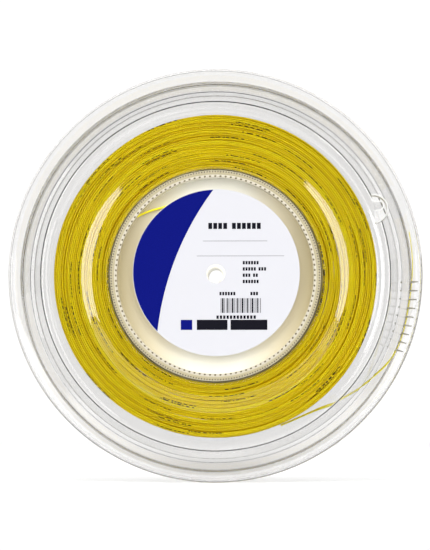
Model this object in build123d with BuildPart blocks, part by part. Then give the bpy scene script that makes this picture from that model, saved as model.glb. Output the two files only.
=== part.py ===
from build123d import *
from math import cos, pi, radians, sin, tan
import os

# Tennis string reel: two clear flanges clamped on a drum by two hub caps, 200 m of string and two paper labels.
# Millimetres. The spindle axis is Y, the front faces -Y, the label's top is +Z, and the origin is the middle of
# the spindle bore. A half-section is drawn as (radius, depth), where depth is the distance from the mid-plane.

# Driving dimensions
RIM_RADIUS = 135.0
HALF_WIDTH = 18.0
WALL = 1.6
STRING_RADIUS = 0.65
PACKING = 0.70

# Drum, and the seats on its ends that carry the flanges
DRUM_RADIUS = 70.4
DRUM_BORE_RADIUS = 66.1
SEAT_RADIUS = 68.0
SEAT_DEPTH = 11.15
CHAMBER_HALF = 9.6
FIT_GAP = 0.05

# Flanges: the wall's middle line runs from the seat out to the rim
WEB_MID = CHAMBER_HALF + FIT_GAP + WALL / 2
HUB_RISE = (71.5, WEB_MID + 0.67)
COVE_RADII = (80.3, 88.4)
DISH_RADII = (106.6, 112.2)
DISH_MID = WEB_MID + 0.9
STEP_RADIUS = 114.4
LIP_MID = 1.9
LIP_RADII = (119.2, 122.6)
FLARE_KNEE = (127.4, 7.6)
RIM_BEAD = 1.1

# Comb that grips the free end, and the pips in the neck beside it
COMB_RIBS = 9
COMB_START = -1.9
COMB_PITCH = -2.55
COMB_RADII = (128.3, 132.6)
COMB_GAP = 0.75
RIB_WIDTH = 0.9
PIP_RADIUS = 121.5
PIP_SIZE = 0.9
PIP_DEPTHS = (0.75, LIP_MID)

# String clip: a tongue in a half-round window of the front flange, with a collar round the window
CLIP_CENTRE = (103.4, 43.7)
CLIP_TURN = 8.0
WINDOW_RADIUS = 8.7
COLLAR_WALL = 0.9
COLLAR_FACE = 12.75
TONGUE_MID = 11.25
TONGUE_WIDTH = 6.9
TONGUE_REACH = 7.2
TONGUE_OFFSET = 1.4
TONGUE_GAP = 0.25
HOOK_LENGTH = 1.8
HOOK_DROP = 1.1

# Hub caps
BORE_RADIUS = 4.8
BORE_CHAMFER = 0.6
SLEEVE_RADIUS = 7.0
PLATEAU_RADIUS = 52.0
PLATEAU_DEPTH = 13.0
CHANNEL_DEPTH = 6.0
CAP_RADIUS = 66.0
CAP_INNER_RADIUS = 64.3
COLLAR_RADIUS = 69.0
COLLAR_DEPTH = 11.35
INNER_TEETH = 120
OUTER_TEETH = 240
KNURL_RADIUS = 68.3
TOOTH_HEIGHT = 0.8

# Labels
LABEL_RADIUS = 54.6
LABEL_THICKNESS = 0.25
LABEL_HOLE_RADIUS = 6.2
LABEL_HOLE = (0.4, 1.2)
FRONT_LABEL = (0.6, 1.9)
REAR_LABEL = (-0.5, 0.6)

# Winding
WINDING_RADIUS = 106.2
WINDING_HALF = 9.5
WINDING_CROWN = 0.7
WINDING_CORNER = 1.2

# Route of the free end, from the winding through the neck, under the comb and out to a bare tip
FREE_END = [
    (42.55, -2.0, -97.85),
    (57.4, -1.6, -91.5),
    (72.6, -1.0, -84.7),
    (86.4, -0.4, -77.7),
    (97.6, -0.05, -70.9),
    (107.2, 0.0, -63.3),
    (115.6, 0.0, -55.0),
    (122.0, 0.0, -45.4),
    (125.6, 0.0, -34.0),
    (127.6, 0.0, -21.6),
    (129.8, 0.0, -8.6),
    (132.0, 0.3, 4.4),
    (132.6, 1.0, 17.4),
    (131.4, 1.9, 30.2),
]

# Route of the inner end, through the drum and the cap's wall and along the channel to under the label
INNER_END = [
    (-61.4, -8.0, 33.9),
    (-54.6, -8.0, 37.4),
    (-47.9, -8.0, 40.9),
    (-41.0, -7.8, 43.5),
    (-33.8, -7.5, 45.3),
    (-26.4, -7.2, 47.4),
    (-18.9, -7.0, 50.2),
    (-11.2, -6.9, 52.3),
]
THREAD_HOLE_RADIUS = 1.3

FRONT, REAR = -1, 1

os.makedirs("parts", exist_ok=True)


def face_plane(side, depth):
    """The plane across the axis at this depth on one side, X to the right and Z up."""
    return Plane.XZ.offset(-side * depth)


def radial_plane(angle):
    """The plane through the axis at this angle from +X, drawn in (radius, Y)."""
    turn = radians(angle)
    return Plane(origin=(0, 0, 0), x_dir=(cos(turn), 0, sin(turn)), z_dir=(-sin(turn), 0, cos(turn)))


def clip_plane(depth):
    """The clip's plane at this depth: X points along the tongue from the middle of the window's root."""
    turn = radians(CLIP_TURN)
    origin = (CLIP_CENTRE[0], -depth, CLIP_CENTRE[1])
    return Plane(origin=origin, x_dir=(cos(turn), 0, sin(turn)), z_dir=(0, -1, 0))


def half_section(side, corners):
    """The closed half-section through these (radius, depth) corners."""
    with BuildSketch(Plane.XY) as section:
        with BuildLine():
            Polyline(*[(r, side * depth) for r, depth in corners], close=True)
        make_face()
    return section.sketch


def flange_section(side):
    """A flange's half-section: seat, web with its cove and dish, step, lip, flare and the bead on the rim."""
    rim = (RIM_RADIUS - RIM_BEAD, HALF_WIDTH - RIM_BEAD)
    middle = [
        (SEAT_RADIUS + FIT_GAP + WALL / 2, WEB_MID),
        (70.3, WEB_MID),
        HUB_RISE,
        (COVE_RADII[0], HUB_RISE[1]),
        (COVE_RADII[1], WEB_MID),
        (DISH_RADII[0], WEB_MID),
        (DISH_RADII[1], DISH_MID),
        (STEP_RADIUS, DISH_MID),
        (LIP_RADII[0], LIP_MID),
        (LIP_RADII[1], LIP_MID),
        FLARE_KNEE,
        rim,
    ]
    bends = (0.9, 0.9, 50, 50, 8, 8, 2.4, 1.6, 2.8, 8)
    with BuildSketch(Plane.XY) as section:
        with BuildLine():
            FilletPolyline(*[(r, side * depth) for r, depth in middle], radius=bends)
            offset(amount=WALL / 2, side=Side.BOTH)
        make_face()
        with Locations((rim[0], side * rim[1])):
            Circle(RIM_BEAD)
    return section.sketch


def comb(side):
    """The comb's ribs on one flared rim, and a pip in the neck at each rib."""
    low, high = COMB_RADII
    rib = [(low, COMB_GAP), (low + RIB_WIDTH, COMB_GAP), (high, 14.9), (low, 8.7)]
    pip = [
        (PIP_RADIUS, PIP_DEPTHS[0]),
        (PIP_RADIUS + PIP_SIZE, PIP_DEPTHS[0]),
        (PIP_RADIUS + PIP_SIZE, PIP_DEPTHS[1]),
        (PIP_RADIUS, PIP_DEPTHS[1]),
    ]
    with BuildPart() as ribs:
        for k in range(COMB_RIBS):
            with BuildSketch(radial_plane(COMB_START + COMB_PITCH * k)):
                add(half_section(side, rib))
                add(half_section(side, pip))
            extrude(amount=RIB_WIDTH / 2, both=True)
    return ribs.part


def half_disc(radius):
    """The half of a disc that lies beyond the clip's root line."""
    with BuildSketch() as half:
        Circle(radius)
        Rectangle(2 * radius, 2 * radius, align=(Align.MAX, Align.CENTER), mode=Mode.SUBTRACT)
    return half.sketch


def tongue_plan():
    """The tongue seen from the front, from its root to its round end."""
    half = TONGUE_WIDTH / 2
    with BuildSketch() as plan:
        with Locations((TONGUE_REACH - half, TONGUE_OFFSET)):
            Circle(half)
        with Locations((TONGUE_GAP, TONGUE_OFFSET)):
            Rectangle(TONGUE_REACH - half - TONGUE_GAP, TONGUE_WIDTH, align=(Align.MIN, Align.CENTER))
    return plan.sketch


def toothed_edge(radius, teeth, height):
    """The corners of a circle with V teeth that stand this high outside the radius."""
    step = pi / teeth
    reach = [radius + height * (k % 2) for k in range(2 * teeth)]
    return [(r * cos(k * step), r * sin(k * step)) for k, r in enumerate(reach)]


def cap_body(side):
    """A hub cap: sleeve, plateau for the label, channel, outer wall, collar and its toothed ring."""
    outline = [
        (BORE_RADIUS, 0),
        (SLEEVE_RADIUS, 0),
        (SLEEVE_RADIUS, PLATEAU_DEPTH - WALL),
        (PLATEAU_RADIUS - WALL, PLATEAU_DEPTH - WALL),
        (PLATEAU_RADIUS - WALL, CHANNEL_DEPTH - WALL),
        (CAP_RADIUS, CHANNEL_DEPTH - WALL),
        (CAP_RADIUS, COLLAR_DEPTH),
        (COLLAR_RADIUS, COLLAR_DEPTH),
        (COLLAR_RADIUS, PLATEAU_DEPTH),
        (CAP_INNER_RADIUS, PLATEAU_DEPTH),
        (CAP_INNER_RADIUS, CHANNEL_DEPTH),
        (PLATEAU_RADIUS, CHANNEL_DEPTH),
        (PLATEAU_RADIUS, PLATEAU_DEPTH),
        (BORE_RADIUS + BORE_CHAMFER, PLATEAU_DEPTH),
        (BORE_RADIUS, PLATEAU_DEPTH - BORE_CHAMFER),
    ]
    with BuildPart() as cap:
        revolve(half_section(side, outline), axis=Axis.Y)
        with BuildSketch(face_plane(side, PLATEAU_DEPTH)):
            Polygon(*toothed_edge(KNURL_RADIUS, OUTER_TEETH, TOOTH_HEIGHT / 2), align=None)
            edge = toothed_edge(CAP_INNER_RADIUS, INNER_TEETH, TOOTH_HEIGHT)
            Polygon(*edge, align=None, mode=Mode.SUBTRACT)
        extrude(amount=-side * TOOTH_HEIGHT)
    return cap.part


def label_disc(side, centre):
    """A round paper label on a cap's plateau, with its hole over the spindle bore."""
    with BuildPart() as disc:
        with BuildSketch(face_plane(side, PLATEAU_DEPTH)):
            with Locations(centre):
                Circle(LABEL_RADIUS)
            with Locations(LABEL_HOLE):
                Circle(LABEL_HOLE_RADIUS, mode=Mode.SUBTRACT)
        extrude(amount=-side * LABEL_THICKNESS)
    return disc.part


def bend_radii(route):
    """The arc at each inner point of a route, as large as its two runs allow."""
    radii = []
    for before, here, after in zip(route, route[1:], route[2:]):
        run_in, run_out = Vector(here) - Vector(before), Vector(after) - Vector(here)
        turn = radians(run_in.get_angle(run_out))
        radii.append(0.45 * min(run_in.length, run_out.length) / tan(turn / 2))
    return radii


def string_tube(name, route):
    """A tube of string along a route of straight runs joined by tangent arcs."""
    radii = bend_radii(route)
    with BuildPart() as tube:
        with BuildLine() as path:
            FilletPolyline(*route, radius=radii)
        line = path.wire()
        with BuildSketch(Plane(origin=line @ 0, z_dir=line % 0)):
            Circle(STRING_RADIUS)
        sweep(path=line)
    share = tube.part.volume / (pi * STRING_RADIUS**2 * line.length)
    print(name, f"length {line.length:.1f}, tightest arc {min(radii):.1f}, volume share {share:.4f}")
    return tube.part


# The hole that the inner end is threaded through, along the end's first two runs
thread_start, thread_end = Vector(INNER_END[0]), Vector(INNER_END[2])
thread_way = (thread_end - thread_start).normalized()
with BuildPart() as thread_hole:
    with BuildSketch(Plane(origin=thread_start - thread_way * 4, z_dir=thread_way)):
        Circle(THREAD_HOLE_RADIUS)
    extrude(amount=(thread_end - thread_start).length + 4)

# Rear flange
with BuildPart() as rear_flange:
    revolve(flange_section(REAR), axis=Axis.Y)
    add(comb(REAR))
rear_flange.part.label = "rear_flange"
export_step(rear_flange.part, "parts/rear_flange.step")

# Front flange, the same moulding with the clip's window
with BuildPart() as front_flange:
    revolve(flange_section(FRONT), axis=Axis.Y)
    add(comb(FRONT))
    with BuildSketch(clip_plane(LIP_MID)):
        add(half_disc(WINDOW_RADIUS + COLLAR_WALL))
    extrude(amount=COLLAR_FACE - LIP_MID)
    with BuildSketch(clip_plane(COMB_GAP)):
        add(half_disc(WINDOW_RADIUS))
    extrude(amount=HALF_WIDTH, mode=Mode.SUBTRACT)
front_flange.part.label = "front_flange"
export_step(front_flange.part, "parts/front_flange.step")

# Clip tongue, with a hook under its tip
with BuildPart() as clip_tongue:
    with BuildSketch(clip_plane(TONGUE_MID - WALL / 2)):
        add(tongue_plan())
    extrude(amount=WALL)
    with BuildSketch(clip_plane(TONGUE_MID - WALL / 2 - HOOK_DROP)):
        add(tongue_plan())
        with Locations((TONGUE_REACH - HOOK_LENGTH, TONGUE_OFFSET)):
            Rectangle(TONGUE_REACH, TONGUE_WIDTH, align=(Align.MIN, Align.CENTER), mode=Mode.INTERSECT)
    extrude(amount=HOOK_DROP)
clip_tongue.part.label = "clip_tongue"
export_step(clip_tongue.part, "parts/clip_tongue.step")

# Drum
with BuildPart() as core_drum:
    outline = [
        (DRUM_BORE_RADIUS, -SEAT_DEPTH),
        (SEAT_RADIUS, -SEAT_DEPTH),
        (SEAT_RADIUS, -CHAMBER_HALF),
        (DRUM_RADIUS, -CHAMBER_HALF),
        (DRUM_RADIUS, CHAMBER_HALF),
        (SEAT_RADIUS, CHAMBER_HALF),
        (SEAT_RADIUS, SEAT_DEPTH),
        (DRUM_BORE_RADIUS, SEAT_DEPTH),
    ]
    revolve(half_section(REAR, outline), axis=Axis.Y)
    add(thread_hole.part, mode=Mode.SUBTRACT)
core_drum.part.label = "core_drum"
export_step(core_drum.part, "parts/core_drum.step")

# Hub caps; the inner end of the string passes through the front one
with BuildPart() as front_hub_cap:
    add(cap_body(FRONT))
    add(thread_hole.part, mode=Mode.SUBTRACT)
front_hub_cap.part.label = "front_hub_cap"
export_step(front_hub_cap.part, "parts/front_hub_cap.step")

with BuildPart() as rear_hub_cap:
    add(cap_body(REAR))
rear_hub_cap.part.label = "rear_hub_cap"
export_step(rear_hub_cap.part, "parts/rear_hub_cap.step")

# Labels
with BuildPart() as front_label:
    add(label_disc(FRONT, FRONT_LABEL))
front_label.part.label = "front_label"
export_step(front_label.part, "parts/front_label.step")

with BuildPart() as rear_label:
    add(label_disc(REAR, REAR_LABEL))
rear_label.part.label = "rear_label"
export_step(rear_label.part, "parts/rear_label.step")

# Winding, as the closed ring that its turns fill
with BuildPart() as string_winding:
    with BuildSketch(Plane.XY) as winding_section:
        edge = WINDING_RADIUS - WINDING_CROWN
        corners = [
            (edge, WINDING_HALF),
            (DRUM_RADIUS, WINDING_HALF),
            (DRUM_RADIUS, -WINDING_HALF),
            (edge, -WINDING_HALF),
        ]
        with BuildLine():
            Polyline(*corners)
            ThreePointArc(corners[-1], (WINDING_RADIUS, 0), corners[0])
        make_face()
        fillet(winding_section.vertices().group_by(Axis.X)[-1], WINDING_CORNER)
    revolve(axis=Axis.Y)
string_winding.part.label = "string_winding"
export_step(string_winding.part, "parts/string_winding.step")
turns_length = PACKING * string_winding.part.volume / (pi * STRING_RADIUS**2)
print("string_winding", f"holds {turns_length / 1000:.0f} m of string")

# Free and inner ends of the string
with BuildPart() as string_free_end:
    add(string_tube("string_free_end", FREE_END))
string_free_end.part.label = "string_free_end"
export_step(string_free_end.part, "parts/string_free_end.step")

with BuildPart() as string_inner_end:
    add(string_tube("string_inner_end", INNER_END))
string_inner_end.part.label = "string_inner_end"
export_step(string_inner_end.part, "parts/string_inner_end.step")
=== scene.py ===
"""Looks for the tennis string reel: clear flanges, cream hub, printed labels and 200 m of wound string.

Metres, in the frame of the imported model: spindle axis Y, front facing -Y, label's top +Z, origin in the
middle of the spindle bore. The outlines and routes, and the sizes of the flange, the comb and the clip that
go with them, are in millimetres. Other sizes are written in millimetres times MM.
"""

import math

import bmesh
import bpy
import numpy as np
from mathutils import Matrix, Vector


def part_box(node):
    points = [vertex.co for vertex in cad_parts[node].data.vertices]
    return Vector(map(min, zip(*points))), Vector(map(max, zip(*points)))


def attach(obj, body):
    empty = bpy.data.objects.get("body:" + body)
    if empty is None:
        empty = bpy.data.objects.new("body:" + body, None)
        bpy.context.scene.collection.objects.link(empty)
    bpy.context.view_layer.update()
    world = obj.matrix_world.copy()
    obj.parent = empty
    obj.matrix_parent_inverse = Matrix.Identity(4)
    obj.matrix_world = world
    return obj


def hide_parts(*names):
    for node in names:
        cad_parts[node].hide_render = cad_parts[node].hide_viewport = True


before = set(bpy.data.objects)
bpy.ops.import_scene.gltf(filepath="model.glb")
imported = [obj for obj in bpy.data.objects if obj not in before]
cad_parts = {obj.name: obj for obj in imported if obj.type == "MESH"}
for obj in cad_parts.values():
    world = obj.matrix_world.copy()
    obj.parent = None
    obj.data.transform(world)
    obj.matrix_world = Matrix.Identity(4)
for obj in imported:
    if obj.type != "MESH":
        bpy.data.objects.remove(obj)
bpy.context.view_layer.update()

MM = 0.001
FRONT, REAR = -1, 1
SHARP_ANGLE = math.radians(40)
scene = bpy.context.scene

# Places read from the frame
HALF_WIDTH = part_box("rear_flange")[1].y
FLOOR_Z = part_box("rear_flange")[0].z
LABEL_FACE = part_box("rear_label")[1].y
WINDING_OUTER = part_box("string_winding")[1].z
WINDING_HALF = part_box("string_winding")[1].y
RING_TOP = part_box("rear_hub_cap")[1].y

# Toothed ring on a hub cap's collar
RING_FOOT = RING_TOP - 0.9 * MM
RING_INNER, RING_OUTER = 64.3 * MM, 68.8 * MM
RING_GAPS, RING_KNURLS = 120, 240
RING_ROWS = 16
GAP_DEPTH, GROOVE_DEPTH, KNURL_DEPTH = 0.75 * MM, 0.2 * MM, 0.5 * MM
# How much darker the ring's outer part is coloured, through the same ramp as the gaps
RING_OUTER_DARKENING = 0.16

# Camera
CAMERA_DISTANCE = 1750 * MM
CAMERA_AZIMUTH = math.radians(1.75)
CAMERA_ELEVATION = math.radians(-3.3)
FRAME_WIDTH = 280.1 * MM
SENSOR_WIDTH = 36.0

# Studio: the surrounding light's grey from in front of the reel (0) to behind it (1), and the backdrop's
WORLD_GREYS = (
    (0.03, 0.01),
    (0.08, 1.0),
    (0.20, 1.0),
    (0.22, 0.08),
    (0.48, 0.12),
    (0.76, 0.07),
    (0.87, 0.24),
)
WORLD_BACKDROP = 0.24
WORLD_STRENGTH = 4.4

# String
STRING_RADIUS = 0.65 * MM
DRUM_RADIUS = 70.4 * MM
TURNS_ACROSS = 13
LAYERS = 28
STEPS_PER_TURN = 96
STRING_SIDES = 6
STRING_LOOSENESS = 0.05 * MM
WANDER_SLOW, WANDER_FAST, WANDER_DEPTH = 0.4 * MM, 0.2 * MM, 0.15 * MM

# Printed dashes along the string: how often, over what share, how long a stroke, and how far round
PRINT_REPEAT = 210 * MM
PRINT_SHARE = 0.11
PRINT_STROKE = 2.0 * MM
STROKE_LEVEL = 0.48
PRINT_FACING = 0.76

# Flange: the wall's middle line as (radius, depth), half the wall at each point, and the bend at each
# inner point. The moulding is thinner at the step. The rim ends in a bead.
WALL = 1.6
FLANGE_LINE = [
    (68.85, 10.45),
    (70.3, 10.45),
    (71.5, 11.12),
    (80.3, 11.12),
    (88.4, 10.45),
    (106.6, 10.45),
    (112.2, 11.35),
    (114.4, 11.35),
    (119.2, 1.9),
    (122.6, 1.9),
    (127.4, 7.6),
    (133.9, 16.9),
]
WALL_HALVES = (0.8, 0.8, 0.8, 0.8, 0.8, 0.8, 0.8, 0.5, 0.5, 0.6, 0.7, 0.8)
FLANGE_BENDS = (0.5, 0.5, 50.0, 50.0, 24.0, 15.0, 0.5, 0.6, 0.8, 1.5)
RIM_BEAD = 1.1
FLANGE_SEGMENTS = 400

# Hub cap's half-section and the bend at each corner that is seen
CAP_LINE = [
    (4.8, 0.0),
    (7.0, 0.0),
    (7.0, 11.4),
    (50.4, 11.4),
    (50.4, 4.4),
    (66.0, 4.4),
    (66.0, 11.35),
    (69.0, 11.35),
    (69.0, 13.0),
    (64.3, 13.0),
    (64.3, 6.0),
    (52.0, 6.0),
    (52.0, 13.0),
    (5.4, 13.0),
    (4.8, 12.4),
]
CAP_BENDS = (0.05, 0.05, 0.05, 0.05, 0.05, 0.05, 0.1, 0.3, 0.3, 0.6, 0.8, 0.5, 0.2)
CAP_SEGMENTS = 240

# Comb ribs, as part.py places them
COMB_ANGLES = [-1.9 - 2.55 * k for k in range(9)]
RIB_OUTLINE = [(128.3, 0.75), (129.2, 0.75), (132.6, 14.9), (128.3, 8.7)]
PIP_OUTLINE = [(121.5, 0.75), (122.4, 0.75), (122.4, 1.9), (121.5, 1.9)]
RIB_WIDTH = 0.9

# Clip window
CLIP_CENTRE = (103.4, 43.7)
CLIP_TURN = math.radians(8.0)
WINDOW_RADIUS = 8.7
COLLAR_WALL = 0.9
COLLAR_DEPTHS = (1.9, 12.75)
TONGUE_WIDTH, TONGUE_REACH, TONGUE_OFFSET = 6.9, 7.2, 1.4
TONGUE_FACE = 12.05

# Labels
LABEL_INK_TOP, LABEL_INK_FOOT = 0.03 * MM, 0.1 * MM

# The free end's route, from the winding through the neck and under the comb to its bare tip
FREE_END = [
    (42.55, -2.0, -97.85),
    (57.4, -1.6, -91.5),
    (72.6, -1.0, -84.7),
    (86.4, -0.4, -77.7),
    (97.6, -0.05, -70.9),
    (107.2, 0.0, -63.3),
    (115.6, 0.0, -55.0),
    (122.0, 0.0, -45.4),
    (125.6, 0.0, -34.0),
    (127.6, 0.0, -21.6),
    (129.8, 0.0, -8.6),
    (132.0, 0.3, 4.4),
    (132.6, 1.0, 17.4),
    (131.4, 1.9, 30.2),
]

# The inner end's route, through the drum and along the channel to under the label
INNER_END = [
    (-61.4, -8.0, 33.9),
    (-54.6, -8.0, 37.4),
    (-47.9, -8.0, 40.9),
    (-41.0, -7.8, 43.5),
    (-33.8, -7.5, 45.3),
    (-26.4, -7.2, 47.4),
    (-18.9, -7.0, 50.2),
    (-11.2, -6.9, 52.3),
]


# ---------------------------------------------------------------- materials
def new_material(name):
    """An empty node material with its Principled shader, as (material, nodes, links, shader)."""
    material = bpy.data.materials.new(name)
    material.use_nodes = True
    nodes = material.node_tree.nodes
    links = material.node_tree.links
    return material, nodes, links, nodes["Principled BSDF"]


def add_node(nodes, kind, **settings):
    """A shader node with these settings."""
    node = nodes.new(kind)
    for key, value in settings.items():
        setattr(node, key, value)
    return node


def math_node(nodes, links, operation, first, second=None):
    """A Math node fed by sockets or numbers; returns its output."""
    node = add_node(nodes, "ShaderNodeMath", operation=operation)
    for socket, value in zip(node.inputs, (first, second)):
        if value is None:
            continue
        if isinstance(value, (int, float)):
            socket.default_value = value
        else:
            links.new(value, socket)
    return node.outputs[0]


def ramp_node(nodes, links, factor, stops):
    """A colour ramp over (position, colour) stops; returns its colour output."""
    node = add_node(nodes, "ShaderNodeValToRGB")
    elements = node.color_ramp.elements
    while len(elements) < len(stops):
        elements.new(0.5)
    for element, (position, colour) in zip(elements, stops):
        element.position = position
        element.color = (*colour, 1.0)
    links.new(factor, node.inputs["Fac"])
    return node.outputs["Color"]


def noise_node(nodes, links, vector, scale, detail=2.0):
    """A noise texture over this vector; returns its factor output."""
    node = add_node(nodes, "ShaderNodeTexNoise")
    node.inputs["Scale"].default_value = scale
    node.inputs["Detail"].default_value = detail
    links.new(vector, node.inputs["Vector"])
    return node.outputs["Fac"]


def bump_into(nodes, links, shader, height, distance, strength):
    """Feeds a height into the shader's normal."""
    node = add_node(nodes, "ShaderNodeBump")
    node.inputs["Strength"].default_value = strength
    node.inputs["Distance"].default_value = distance
    links.new(height, node.inputs["Height"])
    links.new(node.outputs["Normal"], shader.inputs["Normal"])


def clear_plastic():
    """Water-clear moulded plastic with faint flow marks."""
    material, nodes, links, shader = new_material("clear_plastic")
    shader.inputs["Base Color"].default_value = (0.885, 0.88, 0.875, 1)
    shader.inputs["Roughness"].default_value = 0.03
    shader.inputs["IOR"].default_value = 1.5
    shader.inputs["Transmission Weight"].default_value = 1.0
    place = add_node(nodes, "ShaderNodeTexCoord").outputs["Object"]
    flow = noise_node(nodes, links, place, 14.0, 1.0)
    bump_into(nodes, links, shader, flow, 0.1 * MM, 0.15)
    return material


def etched_plastic(name, colour, clearness):
    """The same plastic with a spark-etched surface, as on the comb's ribs and the clip's raised edges."""
    material, nodes, links, shader = new_material(name)
    shader.inputs["Base Color"].default_value = (*colour, 1)
    shader.inputs["Roughness"].default_value = 0.45
    shader.inputs["IOR"].default_value = 1.5
    shader.inputs["Transmission Weight"].default_value = clearness
    place = add_node(nodes, "ShaderNodeTexCoord").outputs["Object"]
    grain = noise_node(nodes, links, place, 1600.0)
    bump_into(nodes, links, shader, grain, 0.04 * MM, 0.4)
    return material


def cream_plastic():
    """Milky cream moulded plastic with painted shade and a painted string glow: darker, warmer tan towards
    the left and right sides.
    """
    material, nodes, links, shader = new_material("cream_plastic")
    shader.inputs["Roughness"].default_value = 0.32
    shader.inputs["IOR"].default_value = 1.5
    place = add_node(nodes, "ShaderNodeTexCoord").outputs["Object"]
    parts = add_node(nodes, "ShaderNodeSeparateXYZ")
    links.new(place, parts.inputs[0])
    across = math_node(nodes, links, "ABSOLUTE", parts.outputs["X"])
    side = math_node(nodes, links, "MULTIPLY", across, 1 / (66 * MM))
    # Painted shade and painted string glow: cream in the middle, turning darker and warmer tan with distance
    # to the left and right.
    colour = ramp_node(nodes, links, side, [
        (0.25, (0.74, 0.72, 0.63)),
        (0.62, (0.64, 0.58, 0.42)),
        (0.95, (0.48, 0.41, 0.24)),
    ])
    links.new(colour, shader.inputs["Base Color"])
    grain = noise_node(nodes, links, place, 900.0)
    bump_into(nodes, links, shader, grain, 0.05 * MM, 0.25)
    return material


def drum_plastic_painted_shade():
    """The drum's milky plastic, coloured a dark olive as painted shade, with a random cloudy tone."""
    material, nodes, links, shader = new_material("drum_plastic_painted_shade")
    shader.inputs["Roughness"].default_value = 0.4
    place = add_node(nodes, "ShaderNodeTexCoord").outputs["Object"]
    cloud = noise_node(nodes, links, place, 45.0)
    # Painted shade: the cream plastic is given a dark olive colour.
    colour = ramp_node(nodes, links, cloud, [(0.35, (0.27, 0.22, 0.08)), (0.65, (0.39, 0.33, 0.13))])
    links.new(colour, shader.inputs["Base Color"])
    grain = noise_node(nodes, links, place, 900.0)
    bump_into(nodes, links, shader, grain, 0.05 * MM, 0.3)
    return material


def ring_plastic_gap_shade():
    """The toothed ring's plastic: cream on top, with painted shade going from brown to dark down in the gaps
    and knurl notches.
    """
    material, nodes, links, shader = new_material("ring_plastic_gap_shade")
    shader.inputs["Roughness"].default_value = 0.3
    gap = add_node(nodes, "ShaderNodeAttribute", attribute_name="gap").outputs["Fac"]
    # Painted shade: the gap attribute darkens the colour from cream through brown to near black.
    colour = ramp_node(nodes, links, gap, [
        (0.02, (0.52, 0.48, 0.39)),
        (0.15, (0.40, 0.35, 0.22)),
        (0.5, (0.06, 0.045, 0.03)),
    ])
    links.new(colour, shader.inputs["Base Color"])
    place = add_node(nodes, "ShaderNodeTexCoord").outputs["Object"]
    grain = noise_node(nodes, links, place, 900.0)
    bump_into(nodes, links, shader, grain, 0.05 * MM, 0.25)
    return material


def label_paper():
    """Coated white paper with a faint fibre grain."""
    material, nodes, links, shader = new_material("label_paper")
    shader.inputs["Base Color"].default_value = (0.53, 0.53, 0.56, 1)
    shader.inputs["Roughness"].default_value = 0.6
    shader.inputs["Specular IOR Level"].default_value = 0.2
    place = add_node(nodes, "ShaderNodeTexCoord").outputs["Object"]
    fibre = noise_node(nodes, links, place, 1500.0)
    bump_into(nodes, links, shader, fibre, 0.03 * MM, 0.2)
    return material


def ink(name, colour):
    """Printing ink that lies a little unevenly on the paper's fibres."""
    material, nodes, links, shader = new_material(name)
    shader.inputs["Roughness"].default_value = 0.6
    shader.inputs["Specular IOR Level"].default_value = 0.03
    place = add_node(nodes, "ShaderNodeTexCoord").outputs["Object"]
    fibre = noise_node(nodes, links, place, 1500.0)
    thin = tuple(min(1.0, channel * 1.25) for channel in colour)
    links.new(ramp_node(nodes, links, fibre, [(0.4, colour), (0.75, thin)]), shader.inputs["Base Color"])
    bump_into(nodes, links, shader, fibre, 0.03 * MM, 0.2)
    return material


def string_end_material():
    """The bright yellow monofilament of the string's two ends."""
    material, nodes, links, shader = new_material("string_end")
    shader.inputs["Roughness"].default_value = 0.28
    place = add_node(nodes, "ShaderNodeTexCoord").outputs["Object"]
    cloud = noise_node(nodes, links, place, 60.0)
    colour = ramp_node(nodes, links, cloud, [(0.3, (0.88, 0.76, 0.010)), (0.7, (0.97, 0.88, 0.020))])
    links.new(colour, shader.inputs["Base Color"])
    return material


def wound_string_material():
    """Yellow monofilament that varies from turn to turn and carries short printed dashes."""
    material, nodes, links, shader = new_material("string_wound")
    shader.inputs["Roughness"].default_value = 0.32
    shader.inputs["Specular IOR Level"].default_value = 0.25
    tone = add_node(nodes, "ShaderNodeAttribute", attribute_name="tone").outputs["Fac"]
    along = add_node(nodes, "ShaderNodeAttribute", attribute_name="along").outputs["Fac"]
    around = add_node(nodes, "ShaderNodeAttribute", attribute_name="around").outputs["Fac"]
    colour = ramp_node(nodes, links, tone, [
        (0.0, (0.80, 0.58, 0.001)),
        (0.5, (0.94, 0.74, 0.002)),
        (1.0, (1.0, 0.86, 0.010)),
    ])
    repeats = math_node(nodes, links, "MULTIPLY", along, 1 / PRINT_REPEAT)
    in_print = math_node(nodes, links, "LESS_THAN", math_node(nodes, links, "FRACT", repeats), PRINT_SHARE)
    strokes = add_node(nodes, "ShaderNodeTexNoise", noise_dimensions="1D")
    strokes.inputs["Scale"].default_value = 1 / PRINT_STROKE
    links.new(along, strokes.inputs["W"])
    in_stroke = math_node(nodes, links, "GREATER_THAN", strokes.outputs["Fac"], STROKE_LEVEL)
    facing = math_node(nodes, links, "GREATER_THAN", around, PRINT_FACING)
    in_mark = math_node(nodes, links, "MULTIPLY", in_print, in_stroke)
    mark = math_node(nodes, links, "MULTIPLY", in_mark, facing)
    mix = add_node(nodes, "ShaderNodeMix", data_type="RGBA")
    links.new(mark, mix.inputs["Factor"])
    links.new(colour, mix.inputs["A"])
    mix.inputs["B"].default_value = (0.04, 0.025, 0.001, 1)
    links.new(mix.outputs["Result"], shader.inputs["Base Color"])
    return material


# ---------------------------------------------------------------- meshes
def mesh_piece(name, points, faces, material, smooth=False):
    """A mesh object from points and faces."""
    mesh = bpy.data.meshes.new(name)
    mesh.from_pydata([tuple(p) for p in points], [], faces)
    mesh.polygons.foreach_set("use_smooth", [smooth] * len(mesh.polygons))
    mesh.materials.append(material)
    piece = bpy.data.objects.new(name, mesh)
    scene.collection.objects.link(piece)
    return piece


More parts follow.
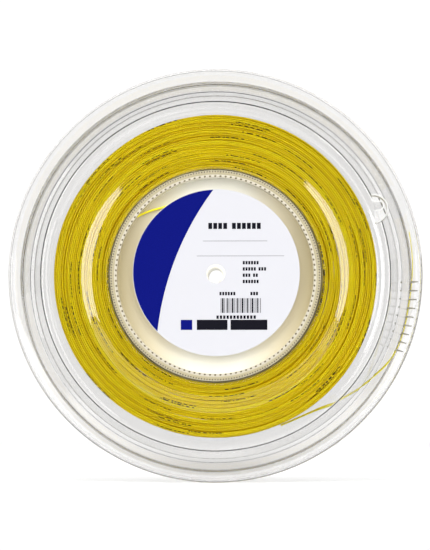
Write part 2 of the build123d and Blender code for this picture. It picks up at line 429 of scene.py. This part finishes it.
def rounded_line(corners, bends, hold=0.12):
    """A line through corners whose inner corners are arcs of these radii, as a list of points.

    A further point on each straight, this close to its arc, keeps the smooth shading of the straight flat.
    """
    corners = [Vector(c) for c in corners]
    line = [corners[0]]
    for before, here, after, bend in zip(corners, corners[1:], corners[2:], bends):
        way_in, way_out = (here - before).normalized(), (after - here).normalized()
        turn = way_in.angle_signed(way_out)
        side = Vector((way_in.y, -way_in.x)) * (1 if turn > 0 else -1)
        first = here - way_in * bend * math.tan(abs(turn) / 2)
        centre = first + side * bend
        count = max(4, math.ceil(abs(turn) / math.radians(6)))
        line.append(first - way_in * hold)
        for k in range(count + 1):
            line.append(centre + Matrix.Rotation(-turn * k / count, 2) @ (first - centre))
        line.append(line[-1] + way_out * hold)
    line.append(corners[-1])
    return line


def beside(corners, distances):
    """The corners of the line that runs beside this one, with its distance at each corner."""
    corners = [Vector(c) for c in corners]
    ways = [(after - here).normalized() for here, after in zip(corners, corners[1:])]
    moved = []
    for corner, distance, way_in, way_out in zip(corners, distances, ways[:1] + ways, ways + ways[-1:]):
        half = (way_in + way_out).normalized()
        normal = Vector((-half.y, half.x))
        moved.append(corner + normal * distance / half.dot(way_in))
    return moved


def flange_outline():
    """The flange's closed half-section as (radius, depth) in metres."""
    outer = rounded_line(beside(FLANGE_LINE, WALL_HALVES), FLANGE_BENDS)
    inner = rounded_line(beside(FLANGE_LINE, [-half for half in WALL_HALVES]), FLANGE_BENDS)
    tip = Vector(FLANGE_LINE[-1])
    way = (tip - Vector(FLANGE_LINE[-2])).normalized()
    half = math.pi - math.asin(WALL / 2 / RIM_BEAD)
    steps = 32
    rim = [tip + Matrix.Rotation(half - 2 * half * k / steps, 2) @ way * RIM_BEAD for k in range(steps + 1)]
    outline = outer[:-1] + rim + inner[-2::-1]
    return [(p.x * MM, p.y * MM) for p in outline]


def lathe(name, outline, side, segments, material):
    """A closed section turned round the spindle axis."""
    count = len(outline)
    points = []
    for k in range(segments):
        turn = 2 * math.pi * k / segments
        points += [(r * math.cos(turn), side * depth, r * math.sin(turn)) for r, depth in outline]
    faces = []
    for k in range(segments):
        here, after = k * count, (k + 1) % segments * count
        for i in range(count):
            beyond = (i + 1) % count
            faces.append((here + i, here + beyond, after + beyond, after + i))
    return outward(mesh_piece(name, points, faces, material, True))


def outward(piece):
    """Turns a closed mesh's faces outwards and keeps its sharp edges crisp."""
    mesh = bmesh.new()
    mesh.from_mesh(piece.data)
    bmesh.ops.recalc_face_normals(mesh, faces=mesh.faces)
    mesh.to_mesh(piece.data)
    mesh.free()
    piece.data.set_sharp_from_angle(angle=SHARP_ANGLE)
    return piece


def clip_place(u, v, depth):
    """The place of a point of the clip: u along the tongue, v across it, in millimetres."""
    x = CLIP_CENTRE[0] + u * math.cos(CLIP_TURN) - v * math.sin(CLIP_TURN)
    z = CLIP_CENTRE[1] + u * math.sin(CLIP_TURN) + v * math.cos(CLIP_TURN)
    return (x * MM, FRONT * depth * MM, z * MM)


def prism_faces(n, first=0):
    """The faces of a closed solid between two outlines of n points each, which start at this point."""
    faces = [tuple(range(n)), tuple(range(2 * n - 1, n - 1, -1))]
    faces += [(k, k + n, (k + 1) % n + n, (k + 1) % n) for k in range(n)]
    return [tuple(first + i for i in face) for face in faces]


def clip_prism(name, outline, low, high, material):
    """A closed solid over a (u, v) outline of the clip, between two depths (mm)."""
    points = [clip_place(u, v, depth) for depth in (low, high) for u, v in outline]
    return outward(mesh_piece(name, points, prism_faces(len(outline)), material, True))


def half_ring(outer, inner=None, steps=32):
    """The outline of a half disc, or of a half ring, beyond the clip's root line."""
    angles = [math.pi * (k / steps - 0.5) for k in range(steps + 1)]
    outline = [(outer * math.cos(a), outer * math.sin(a)) for a in angles]
    if inner:
        outline += [(inner * math.cos(a), inner * math.sin(a)) for a in reversed(angles)]
    return outline


def cut(piece, cutter):
    """Cuts one closed mesh out of another and removes the cutter."""
    modifier = piece.modifiers.new("cut", "BOOLEAN")
    modifier.operation = "DIFFERENCE"
    modifier.solver = "EXACT"
    modifier.object = cutter
    bpy.context.view_layer.update()
    shaped = bpy.data.meshes.new_from_object(piece.evaluated_get(bpy.context.evaluated_depsgraph_get()))
    piece.modifiers.clear()
    piece.data = shaped
    bpy.data.objects.remove(cutter)
    piece.data.set_sharp_from_angle(angle=SHARP_ANGLE)


def comb_piece(name, side, material):
    """The comb's ribs and pips of one flange."""
    points, faces = [], []
    for angle in COMB_ANGLES:
        turn = math.radians(angle)
        out = Vector((math.cos(turn), 0, math.sin(turn)))
        along = Vector((-math.sin(turn), 0, math.cos(turn)))
        for outline in (RIB_OUTLINE, PIP_OUTLINE):
            faces += prism_faces(len(outline), len(points))
            for half in (-RIB_WIDTH / 2, RIB_WIDTH / 2):
                shift = along * half
                points += [(out * r + shift + Vector((0, side * depth, 0))) * MM for r, depth in outline]
    return outward(mesh_piece(name, points, faces, material, False))


def tongue_edge(material):
    """The raised edge round the clip's tongue, which moves with it."""
    half = TONGUE_WIDTH / 2
    outline = []
    for radius, order in ((half, 1), (half - COLLAR_WALL, -1)):
        arc = [(TONGUE_REACH - half + u, TONGUE_OFFSET + v) for u, v in half_ring(radius)]
        arc = [(0.4, TONGUE_OFFSET - radius)] + arc + [(0.4, TONGUE_OFFSET + radius)]
        outline += arc[::order]
    edge = clip_prism("tongue_edge", outline, TONGUE_FACE - 0.1, TONGUE_FACE + 0.5, material)
    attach(edge, "clip")


def flange(prefix, side, material, etched):
    """A clear flange with its comb; the front one has the clip's window and collar."""
    body = lathe(prefix + "_flange_body", flange_outline(), side, FLANGE_SEGMENTS, material)
    pieces = [body, comb_piece(prefix + "_comb", side, RIBS)]
    if side == FRONT:
        cut(body, clip_prism("cutter", half_ring(WINDOW_RADIUS), 0.3, 30.0, material))
        ring = half_ring(WINDOW_RADIUS + COLLAR_WALL, WINDOW_RADIUS)
        pieces.append(clip_prism("clip_collar", ring, *COLLAR_DEPTHS, etched))
    for piece in pieces:
        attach(piece, "reel")
    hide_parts(prefix + "_flange")


def wander(rng, turns, harmonics, size):
    """Smooth noise around the circle that drifts from turn to turn: size metres, as f(turn, angle)."""
    waves = []
    for k in harmonics:
        phase = np.cumsum(rng.normal(0, 0.5, turns + 2)) + rng.uniform(0, 2 * math.pi)
        level = 0.6 + 0.4 * np.sin(np.cumsum(rng.normal(0, 0.6, turns + 2)))
        waves.append((k, phase, level / math.sqrt(len(harmonics))))

    def offset(turn, angle):
        index = np.floor(turn).astype(int)
        part = turn - index
        total = np.zeros_like(angle)
        for k, phase, level in waves:
            here = phase[index] * (1 - part) + phase[index + 1] * part
            strength = level[index] * (1 - part) + level[index + 1] * part
            total += strength * np.sin(k * angle + here)
        return size * total

    return offset


def winding_line():
    """The wound string's centre line: (points, turn number of each point).

    It runs to and fro across the drum, layer on layer, and crosses to the next turn in the last part of
    each turn.
    """
    rng = np.random.default_rng(11)
    low = DRUM_RADIUS + STRING_RADIUS
    spare, overshoot = 0.25 * MM, 0.2 * MM
    high = WINDING_OUTER - STRING_RADIUS - spare
    reach = WINDING_HALF - STRING_RADIUS
    radii, depths = [], []
    for layer in range(LAYERS):
        level = low + (high - low) * layer / (LAYERS - 1)
        inset = 0.35 * MM if layer % 2 else 0
        across = np.linspace(-1, 1, TURNS_ACROSS) * (reach - inset)
        if layer % 2:
            across = across[::-1]
        radii += list(level + rng.normal(0, STRING_LOOSENESS, TURNS_ACROSS))
        depths += list(across)
    turns = len(radii)
    radii = np.array(radii + radii[-1:])
    depths = np.array(depths + depths[-1:])
    steps = np.arange(turns * STEPS_PER_TURN)
    turn = steps / STEPS_PER_TURN
    angle = 2 * math.pi * turn
    index = np.floor(turn).astype(int)
    crossing = 0.3
    part = np.clip((turn - index - (1 - crossing)) / crossing, 0, 1)
    part = part * part * (3 - 2 * part)
    radius = radii[index] * (1 - part) + radii[index + 1] * part
    depth = depths[index] * (1 - part) + depths[index + 1] * part
    radius += wander(rng, turns, (1, 2, 3), WANDER_SLOW)(turn, angle)
    radius += wander(rng, turns, (4, 5, 7), WANDER_FAST)(turn, angle)
    depth += wander(rng, turns, (2, 3, 5), WANDER_DEPTH)(turn, angle)
    radius = np.clip(radius, low, high + overshoot)
    depth = np.clip(depth, -reach, reach)
    points = np.stack([radius * np.cos(angle), depth, radius * np.sin(angle)], axis=1)
    return points, turn


def string_mesh(name, points, turn, material):
    """A tube of string round the axis; its length, its side and its turn's tone are attributes."""
    rng = np.random.default_rng(5)
    count = len(points)
    away = points * (1, 0, 1)
    away /= np.linalg.norm(away, axis=1)[:, None]
    forward = np.array((0.0, -1.0, 0.0))
    ring = 2 * math.pi * np.arange(STRING_SIDES) / STRING_SIDES
    cos_ring, sin_ring = np.cos(ring), np.sin(ring)
    corners = points[:, None, :] + STRING_RADIUS * (
        away[:, None, :] * sin_ring[None, :, None] + forward * cos_ring[None, :, None]
    )
    first = np.arange(count - 1)[:, None] * STRING_SIDES
    side = np.arange(STRING_SIDES)[None, :]
    after = (side + 1) % STRING_SIDES
    second = first + STRING_SIDES
    quads = np.stack([first + side, first + after, second + after, second + side], axis=2).reshape(-1, 4)
    cap = np.arange(STRING_SIDES)
    caps = np.array([cap[::-1], (count - 1) * STRING_SIDES + cap])
    mesh = bpy.data.meshes.new(name)
    mesh.vertices.add(count * STRING_SIDES)
    mesh.vertices.foreach_set("co", corners.astype(np.float32).ravel())
    loops = np.concatenate([quads.ravel(), caps.ravel()])
    sizes = np.concatenate([np.full(len(quads), 4), np.full(len(caps), STRING_SIDES)])
    mesh.loops.add(len(loops))
    mesh.loops.foreach_set("vertex_index", loops.astype(np.int32))
    mesh.polygons.add(len(sizes))
    starts = np.concatenate([[0], np.cumsum(sizes)[:-1]])
    mesh.polygons.foreach_set("loop_start", starts.astype(np.int32))
    mesh.polygons.foreach_set("use_smooth", np.ones(len(sizes), bool))
    mesh.update(calc_edges=True)
    mesh.validate()
    steps = np.linalg.norm(np.diff(points, axis=0), axis=1)
    along = np.concatenate([[0], np.cumsum(steps)])
    print(f"winding length {along[-1]:.1f} m")
    tones = np.clip(0.5 + rng.normal(0, 0.2, int(turn[-1]) + 2), 0, 1)
    tone = tones[np.floor(turn).astype(int)]
    spin = rng.uniform(0, 2 * math.pi, int(turn[-1]) + 2)[np.floor(turn).astype(int)]
    around = np.abs(np.cos(ring[None, :] + 0.5 * np.sin(spin)[:, None]))
    attributes = {
        "along": np.repeat(along, STRING_SIDES),
        "tone": np.repeat(tone, STRING_SIDES),
        "around": around.ravel(),
    }
    for key, values in attributes.items():
        mesh.attributes.new(key, "FLOAT", "POINT").data.foreach_set("value", values.astype(np.float32))
    mesh.materials.append(material)
    piece = bpy.data.objects.new(name, mesh)
    scene.collection.objects.link(piece)
    return piece


def cord_curve(name, route, material):
    """A round cord on a smooth line through its route's control points (mm)."""
    curve = bpy.data.curves.new(name, "CURVE")
    curve.dimensions = "3D"
    spline = curve.splines.new("NURBS")
    spline.points.add(len(route) - 1)
    for point, place in zip(spline.points, route):
        point.co = (*(c * MM for c in place), 1.0)
    spline.order_u = 3
    spline.use_endpoint_u = True
    spline.resolution_u = 8
    curve.bevel_depth = STRING_RADIUS
    curve.bevel_resolution = 4
    curve.use_fill_caps = True
    curve.materials.append(material)
    piece = bpy.data.objects.new(name, curve)
    scene.collection.objects.link(piece)
    return piece


def hub_cap(prefix, side, material, ring_material):
    """A hub cap with its toothed ring."""
    line = rounded_line(CAP_LINE, CAP_BENDS, 0.02)
    body = lathe(prefix + "_cap_body", [(p.x * MM, p.y * MM) for p in line], side, CAP_SEGMENTS, material)
    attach(body, "reel")
    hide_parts(prefix + "_hub_cap")
    tooth_ring(prefix + "_tooth_ring", side, ring_material)


def hump(share, middle, width):
    """A smooth hump of height 1 round the middle."""
    return math.exp(-((share - middle) / width) ** 2)


def tooth_ring(name, side, material):
    """The ring on a hub cap's collar: deep gaps round its inner edge and small knurls round its outer one."""
    radii = [RING_INNER + (RING_OUTER - RING_INNER) * k / RING_ROWS for k in range(RING_ROWS + 1)]
    steps = RING_GAPS * 8
    points, gap_shade_and_darkening, faces = [], [], []
    for r in radii:
        share = (r - RING_INNER) / (RING_OUTER - RING_INNER)
        for k in range(steps):
            turn = 2 * math.pi * k / steps
            # Painted shade: gap and notch also darken the colour in the gaps and knurl notches, through the
            # gap attribute.
            gap = hump(share, 0.16, 0.09) * max(0.0, math.cos(RING_GAPS * turn)) ** 1.5
            notch = hump(share, 0.84, 0.1) * max(0.0, math.cos(RING_KNURLS * turn))
            groove = hump(share, 0.40, 0.07)
            depth = RING_TOP - GAP_DEPTH * gap - GROOVE_DEPTH * groove - KNURL_DEPTH * notch
            points.append((r * math.cos(turn), side * depth, r * math.sin(turn)))
            # The ring's outer part is coloured darker as well.
            outer_darkening = RING_OUTER_DARKENING * min(1.0, max(0.0, (share - 0.3) / 0.2))
            gap_shade_and_darkening.append(max(gap, notch, outer_darkening))
    for r in (radii[-1], radii[0]):
        for k in range(steps):
            turn = 2 * math.pi * k / steps
            points.append((r * math.cos(turn), side * RING_FOOT, r * math.sin(turn)))
            gap_shade_and_darkening.append(0.0)
    rows = len(radii) + 2
    for row in range(rows):
        for k in range(steps):
            low, high = row * steps, (row + 1) % rows * steps
            face = (low + k, low + (k + 1) % steps, high + (k + 1) % steps, high + k)
            faces.append(face[::-1] if side == FRONT else face)
    piece = mesh_piece(name, points, faces, material, True)
    piece.data.attributes.new("gap", "FLOAT", "POINT").data.foreach_set("value", gap_shade_and_darkening)
    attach(piece, "reel")


# ---------------------------------------------------------------- label print
def bar(x, z, width, height):
    """The outline of a bar whose lower left corner is (x, z), in millimetres."""
    left, right, low, high = x * MM, (x + width) * MM, z * MM, (z + height) * MM
    return [(left, low), (right, low), (right, high), (left, high)]


def blocks(x, z, width, height, gap, counts):
    """A row of plain blocks in groups, one group for each count."""
    outlines = []
    for count in counts:
        for _ in range(count):
            outlines.append(bar(x, z, width, height))
            x += width + gap
        x += width
    return outlines


def crescent(centre, radius, shift, inner):
    """A crescent between a circle and a second circle that is shifted, in millimetres."""
    steps = 96
    gap = math.hypot(*shift)
    heading = math.atan2(shift[1], shift[0])
    reach = (radius**2 + gap**2 - inner**2) / (2 * gap)
    half = math.acos(reach / radius)
    inner_half = math.acos((reach - gap) / inner)
    middle = (centre[0] + shift[0], centre[1] + shift[1])
    outline = []
    for k in range(steps + 1):
        turn = heading + half + (2 * math.pi - 2 * half) * k / steps
        outline.append((centre[0] + radius * math.cos(turn), centre[1] + radius * math.sin(turn)))
    for k in range(1, steps):
        turn = heading - inner_half - (2 * math.pi - 2 * inner_half) * k / steps
        outline.append((middle[0] + inner * math.cos(turn), middle[1] + inner * math.sin(turn)))
    return [(x * MM, z * MM) for x, z in outline]


def print_piece(name, outlines, side, material):
    """Ink on a label: every outline as a thin solid, standing a little proud of the paper."""
    points, faces = [], []
    for outline in outlines:
        if side == REAR:
            outline = [(-x, z) for x, z in outline]
        faces += prism_faces(len(outline), len(points))
        for depth in (LABEL_FACE - LABEL_INK_FOOT, LABEL_FACE + LABEL_INK_TOP):
            points += [(x, side * depth, z) for x, z in outline]
    piece = outward(mesh_piece(name, points, faces, material))
    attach(piece, "reel")


def bar_code(x, z, width, height):
    """Plain upright bars whose widths follow a simple rule."""
    outlines = []
    place, k = 0.0, 0
    while place < width:
        thick = (0.35, 0.7, 0.35, 1.05)[(k * 7 + k // 3) % 4]
        outlines.append(bar(x + place, z, thick, height))
        place += thick + (0.45, 0.8, 0.4)[(k * 5) % 3]
        k += 1
    return outlines


def label_print(prefix, side, centre):
    """The generic print of one label, in mm from the spindle axis; the centre is the blue field's."""
    blue = [crescent(centre, 54.3, (150.3, -59.2), 189.8)]
    blue.append(bar(-22.5, -35.6, 7.5, 6.6))
    black = blocks(-4.5, 30.4, 2.5, 4.0, 0.75, (4, 6))
    for row, counts in enumerate(((6,), (5, 3), (3, 2), (6,))):
        black += blocks(18.0, 7.2 - 4.1 * row, 1.3, 2.2, 0.5, counts)
    black += blocks(2.8, -13.0, 1.3, 2.2, 0.5, (6,))
    black += blocks(23.0, -13.0, 1.3, 2.2, 0.5, (3,))
    black += bar_code(3.6, -24.5, 26.0, 9.6)
    black += blocks(0.8, -28.4, 1.5, 2.2, 0.7, (12,))
    black += [bar(-12.0, -35.6, 20.0, 6.6), bar(10.0, -35.6, 24.0, 6.6)]
    grey = [bar(-8.0, 22.4, 42.0, 0.3), bar(-12.0, 12.6, 57.0, 0.3)]
    print_piece(prefix + "_print_blue", blue, side, INK_BLUE)
    print_piece(prefix + "_print_black", black, side, INK_BLACK)
    print_piece(prefix + "_print_grey", grey, side, INK_GREY)


# ---------------------------------------------------------------- camera
target = Vector((0, -HALF_WIDTH, 0))
direction = Vector((
    math.sin(CAMERA_AZIMUTH) * math.cos(CAMERA_ELEVATION),
    -math.cos(CAMERA_AZIMUTH) * math.cos(CAMERA_ELEVATION),
    math.sin(CAMERA_ELEVATION),
))
camera = bpy.data.objects.new("camera", bpy.data.cameras.new("camera"))
scene.collection.objects.link(camera)
camera.location = direction * CAMERA_DISTANCE
look = target - camera.location
camera.rotation_euler = look.to_track_quat("-Z", "Y").to_euler()
camera.data.sensor_fit = "HORIZONTAL"
camera.data.sensor_width = SENSOR_WIDTH
camera.data.lens = SENSOR_WIDTH * look.length / FRAME_WIDTH
scene.camera = camera

# ---------------------------------------------------------------- string
STRING = wound_string_material()
STRING_PLAIN = string_end_material()

free_end = cord_curve("free_end", FREE_END, STRING_PLAIN)
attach(free_end, "reel")
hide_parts("string_free_end")

inner_end = cord_curve("inner_end", INNER_END, STRING_PLAIN)
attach(inner_end, "reel")
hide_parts("string_inner_end")

line, turn_of = winding_line()
winding = string_mesh("winding", line, turn_of, STRING)
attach(winding, "reel")
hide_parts("string_winding")

# ---------------------------------------------------------------- plastic and paper
CLEAR = clear_plastic()
CREAM = cream_plastic()
PAPER = label_paper()
INK_BLUE = ink("ink_blue", (0.002, 0.0045, 0.13))
INK_BLACK = ink("ink_black", (0.006, 0.006, 0.01))
INK_GREY = ink("ink_grey", (0.15, 0.15, 0.16))
RIBS = etched_plastic("rib_plastic", (0.62, 0.60, 0.54), 1.0)
EDGE = etched_plastic("edge_plastic", (0.95, 0.95, 0.93), 0.5)
flange("front", FRONT, CLEAR, EDGE)
flange("rear", REAR, CLEAR, EDGE)
tongue_edge(EDGE)
finish = {
    "clip_tongue": CLEAR,
    "core_drum": drum_plastic_painted_shade(),
    "front_label": PAPER,
    "rear_label": PAPER,
}
for node, material in finish.items():
    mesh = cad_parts[node].data
    mesh.materials.clear()
    mesh.materials.append(material)

RING = ring_plastic_gap_shade()
hub_cap("front", FRONT, CREAM, RING)
hub_cap("rear", REAR, CREAM, RING)

label_print("front", FRONT, (0.6, 1.9))
label_print("rear", REAR, (0.5, 0.6))

# ---------------------------------------------------------------- studio
def soft_box(name, place, width, height, power, roll=0.0):
    """A rectangular area light that faces the reel, turned by a roll in degrees."""
    light = bpy.data.lights.new(name, "AREA")
    light.shape = "RECTANGLE"
    light.size = width
    light.size_y = height
    light.energy = power
    lamp = bpy.data.objects.new(name, light)
    scene.collection.objects.link(lamp)
    lamp.location = place
    facing = (-Vector(place)).to_track_quat("-Z", "Y").to_matrix()
    lamp.rotation_euler = (facing @ Matrix.Rotation(math.radians(roll), 3, "Z")).to_euler()
    return lamp


def studio_floor():
    """A plain pale floor that the reel stands on, lit a little from below like a light table."""
    reach = 6.0
    corners = ((-reach, -reach), (reach, -reach), (reach, reach), (-reach, reach))
    points = [(x, y, FLOOR_Z) for x, y in corners]
    material, nodes, links, shader = new_material("floor")
    shader.inputs["Base Color"].default_value = (0.65, 0.65, 0.65, 1)
    shader.inputs["Roughness"].default_value = 0.9
    shader.inputs["Emission Color"].default_value = (1, 1, 1, 1)
    shader.inputs["Emission Strength"].default_value = 0.32
    mesh_piece("floor", points, [(0, 1, 2, 3)], material)


def dark_cards():
    """Two black cards hidden from the camera: one between the soft boxes, one on the floor in front.

    They darken what the clear plastic mirrors. Only mirrored light meets the one on the floor.
    """
    material, nodes, links, shader = new_material("card")
    shader.inputs["Base Color"].default_value = (0.01, 0.01, 0.01, 1)
    shader.inputs["Roughness"].default_value = 1.0
    shader.inputs["Specular IOR Level"].default_value = 0.0
    y, left, right, low, high = -2.25, -0.43, 0.31, -0.134, 0.75
    points = [(left, y, low), (right, y, low), (right, y, high), (left, y, high)]
    upright = mesh_piece("card_upright", points, [(0, 1, 2, 3)], material)
    upright.visible_camera = False
    near, far, half, level = -0.11, -1.3, 0.45, FLOOR_Z + 0.5 * MM
    points = [(-half, near, level), (-half, far, level), (half, far, level), (half, near, level)]
    flat = mesh_piece("card_flat", points, [(0, 1, 2, 3)], material)
    flat.visible_camera = flat.visible_diffuse = flat.visible_transmission = flat.visible_shadow = False


def studio_world():
    """Light from behind and from a ring in front of the reel; the camera sees a plain white background."""
    world = bpy.data.worlds.new("studio")
    world.use_nodes = True
    scene.world = world
    nodes, links = world.node_tree.nodes, world.node_tree.links
    background = nodes["Background"]
    heading = add_node(nodes, "ShaderNodeTexCoord").outputs["Generated"]
    parts = add_node(nodes, "ShaderNodeSeparateXYZ")
    links.new(heading, parts.inputs[0])
    depth = math_node(nodes, links, "MULTIPLY_ADD", parts.outputs["Y"], 0.5)
    depth.node.inputs[2].default_value = 0.5
    colour = ramp_node(nodes, links, depth, [(place, (grey,) * 3) for place, grey in WORLD_GREYS])
    backdrop = add_node(nodes, "ShaderNodeMix", data_type="RGBA")
    links.new(add_node(nodes, "ShaderNodeLightPath").outputs["Is Camera Ray"], backdrop.inputs["Factor"])
    links.new(colour, backdrop.inputs["A"])
    backdrop.inputs["B"].default_value = (*(WORLD_BACKDROP,) * 3, 1)
    links.new(backdrop.outputs["Result"], background.inputs["Color"])
    background.inputs["Strength"].default_value = WORLD_STRENGTH


studio_floor()
dark_cards()
studio_world()
soft_box("box_right", (0.45, -2.2, 0.34), width=0.16, height=0.84, power=2.1, roll=12.0)
soft_box("box_left", (-0.57, -2.2, 0.25), width=0.16, height=0.60, power=1.5)
# The back light brightens the rear face, but nothing mirrors it or shows it through the clear plastic.
back = soft_box("box_back", (-0.6, 1.6, 1.9), width=1.2, height=1.2, power=28.0)
back.visible_camera = back.visible_glossy = back.visible_transmission = False
back.data.use_shadow = False

scene.view_settings.view_transform = "Standard"
